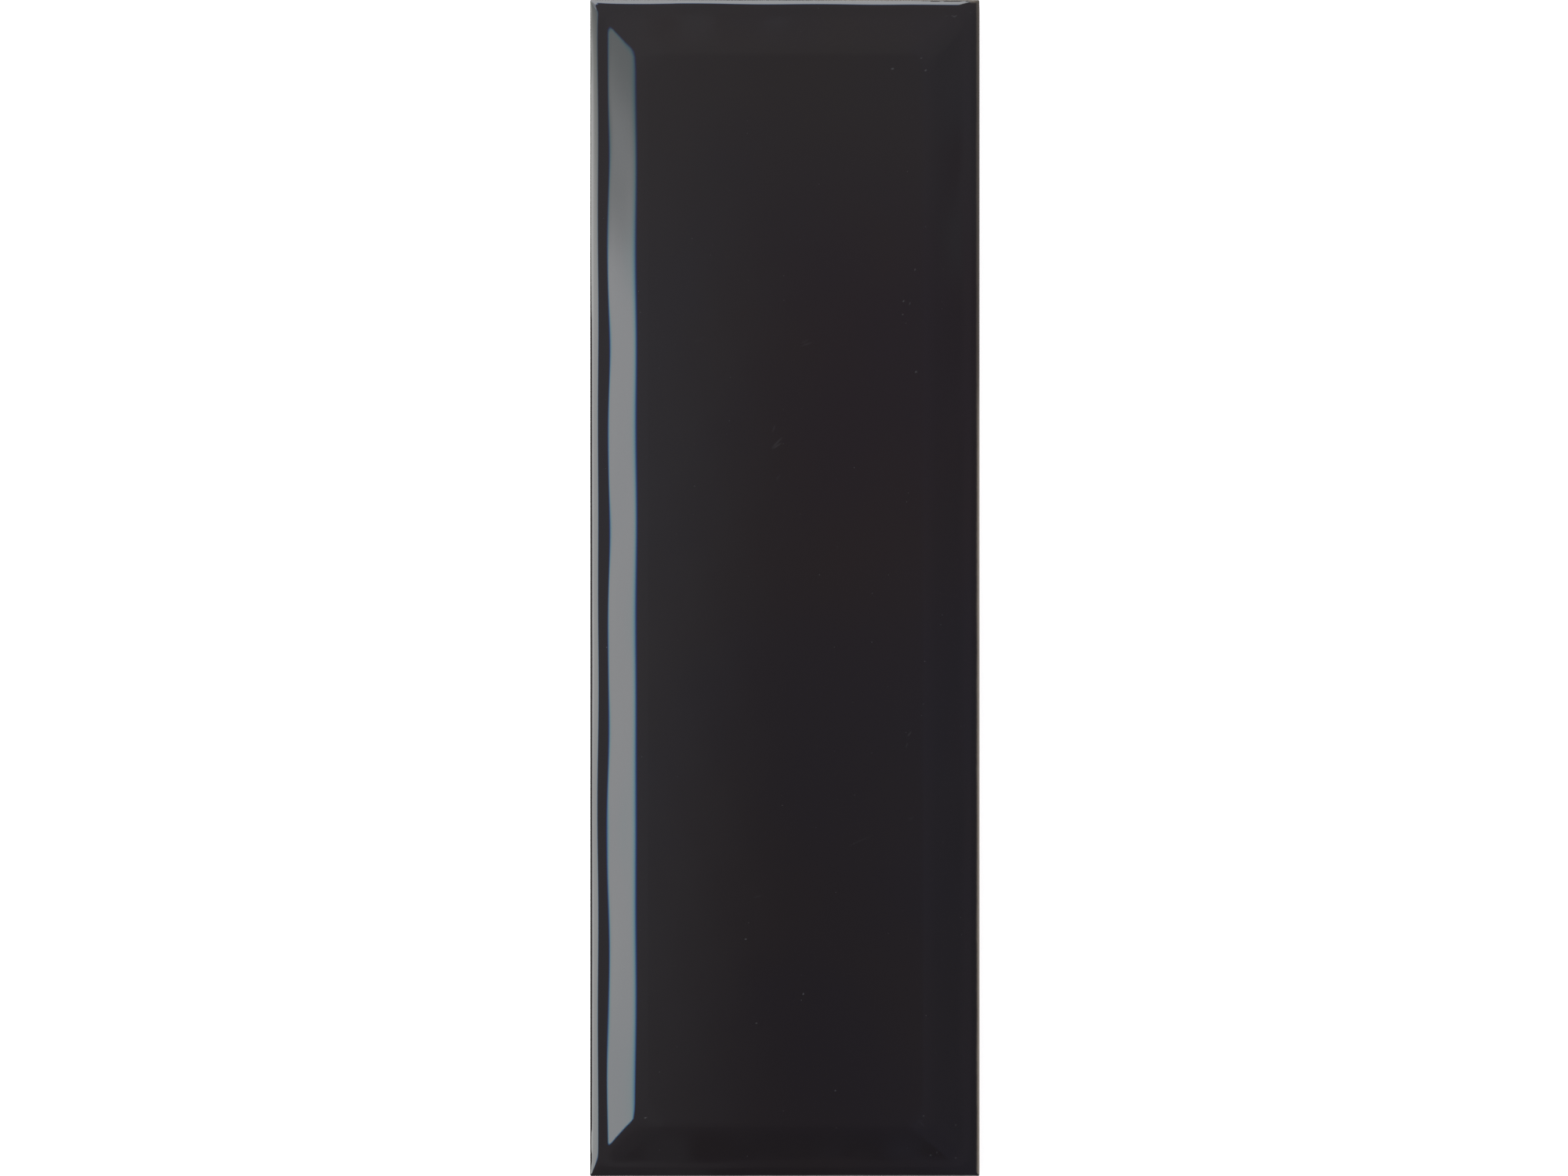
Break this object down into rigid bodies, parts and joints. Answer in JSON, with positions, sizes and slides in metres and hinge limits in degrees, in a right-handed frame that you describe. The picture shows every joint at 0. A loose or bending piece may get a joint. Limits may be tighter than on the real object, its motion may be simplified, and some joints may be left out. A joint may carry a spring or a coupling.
{
  "type": "wall tile",
  "caption": "Glossy black ceramic wall tile in a long brick format, with a raised flat face inside mitred bevels and a keyed back for adhesive.",
  "frame": {"origin": "centre of the bedding plane, on the crest of the back's lattice", "axes": "+X to the right across the tile, +Y up along its long side as in the picture, +Z out of the glazed face"},
  "size_m": [0.099, 0.299, 0.008],
  "materials": {
    "glazed_body": "black gloss glaze over the face, bevels and rim; matt unglazed beige body on the sides and back"
  },
  "bodies": {
    "root": {"tile": "glazed_body"}
  },
  "joints": []
}
